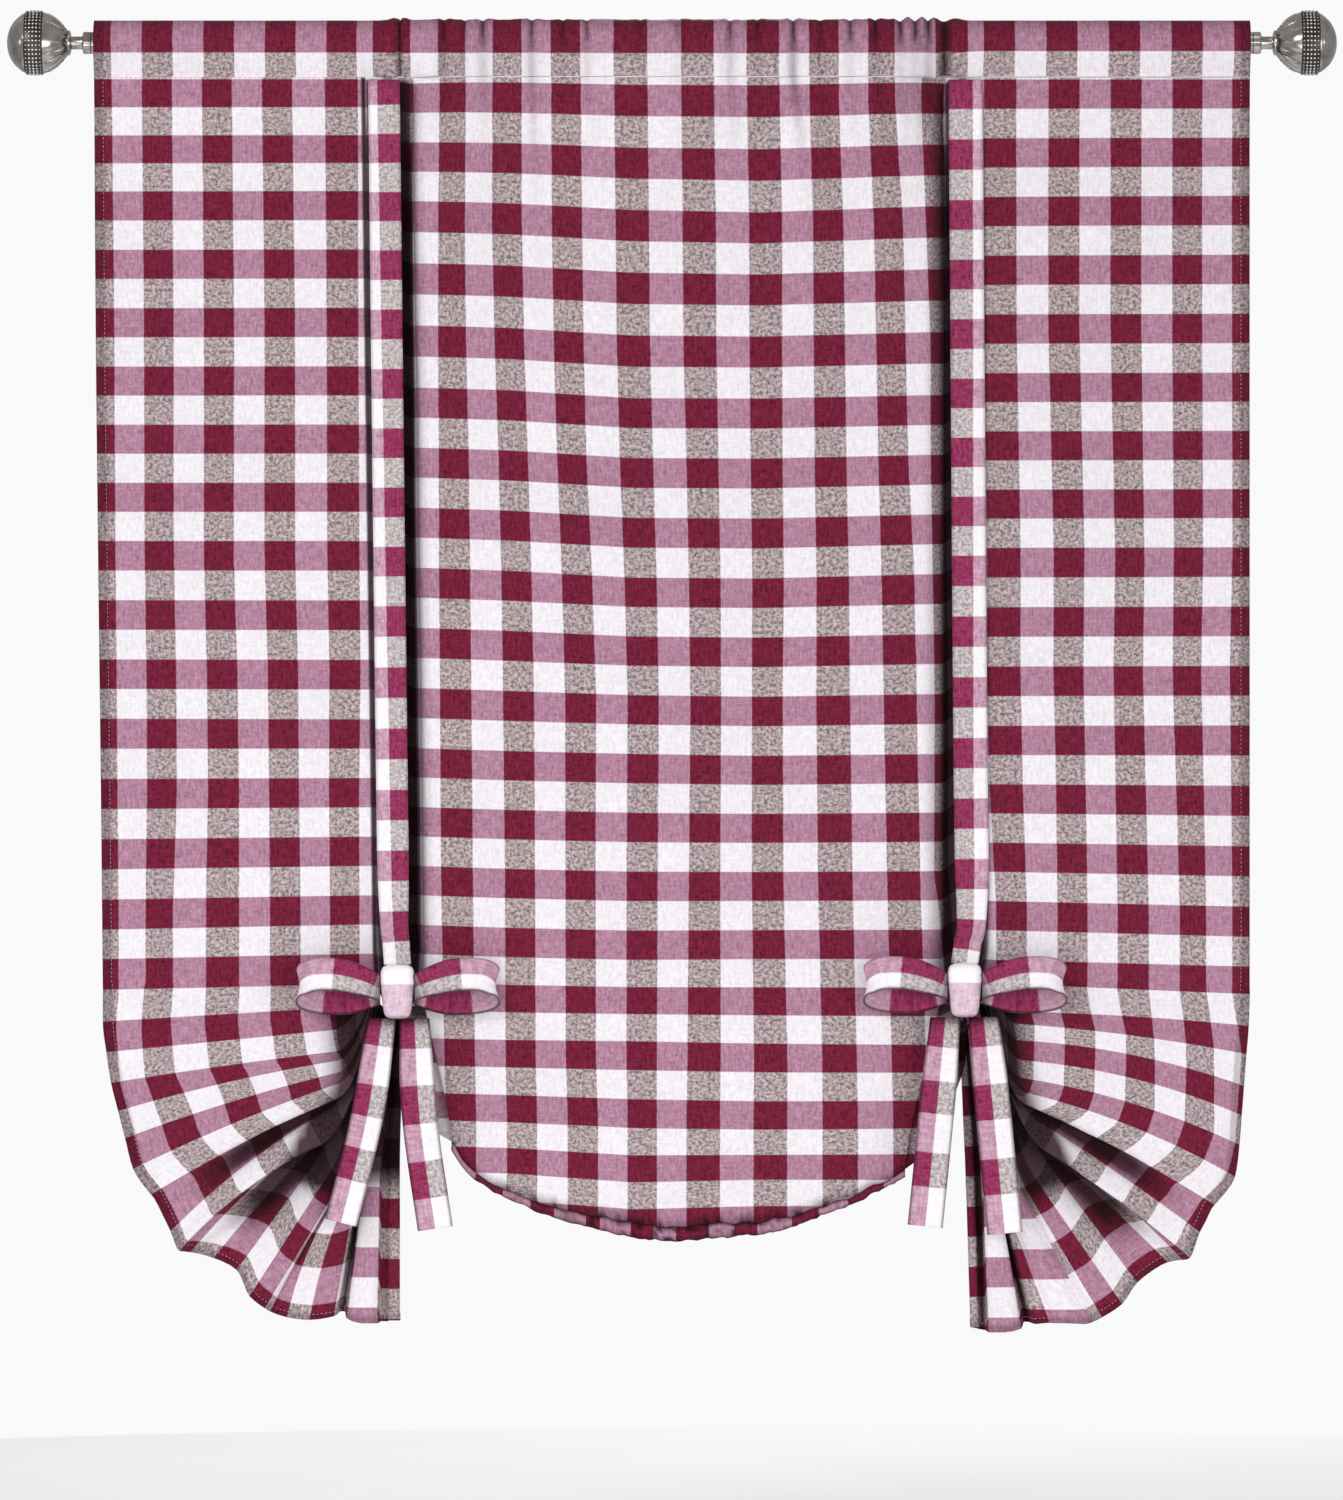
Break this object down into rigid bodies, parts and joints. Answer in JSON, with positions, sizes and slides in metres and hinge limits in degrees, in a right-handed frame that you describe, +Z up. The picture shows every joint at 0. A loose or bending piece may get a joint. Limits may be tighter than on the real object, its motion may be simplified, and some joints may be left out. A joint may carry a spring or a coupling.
{
  "type": "tie-up shade on a curtain rod",
  "caption": "Checked cotton window shade on a rod with ball finials, gathered into a scallop by straps tied in bows.",
  "frame": {"origin": "on the rod's axis, at the middle of the shade's width", "axes": "+X along the rod to the right as seen from the room, -Y towards the room, +Y towards the wall, +Z up"},
  "size_m": [1.1302, 0.0646, 1.1237],
  "materials": {
    "checked_cotton": "woven cotton in an even check of burgundy, mauve, grey-taupe and white, matt, with side hems and a stitched rod pocket",
    "strap_cotton": "the same checked cotton folded into straps and topstitched near the edges",
    "rod_nickel": "brushed nickel",
    "finial_nickel": "polished pewter-toned nickel with fine ribs on the taper",
    "finial_band": "dark band with raised dots"
  },
  "bodies": {
    "root": {"shade_cloth": "checked_cotton", "strap_front_left": "strap_cotton", "strap_front_right": "strap_cotton", "strap_back_left": "strap_cotton", "strap_back_right": "strap_cotton", "bow_knot_left": "strap_cotton", "bow_knot_right": "strap_cotton", "bow_loop_left_left": "strap_cotton", "bow_loop_left_right": "strap_cotton", "bow_loop_right_left": "strap_cotton", "bow_loop_right_right": "strap_cotton", "bow_tail_left_outer": "strap_cotton", "bow_tail_left_inner": "strap_cotton", "bow_tail_right_inner": "strap_cotton", "bow_tail_right_outer": "strap_cotton", "rod": "rod_nickel", "finial_neck_left": "finial_nickel", "finial_neck_right": "finial_nickel", "finial_taper_left": "finial_nickel", "finial_taper_right": "finial_nickel", "finial_band_left": "finial_band", "finial_band_right": "finial_band", "finial_tip_left": "finial_nickel", "finial_tip_right": "finial_nickel"}
  },
  "joints": []
}
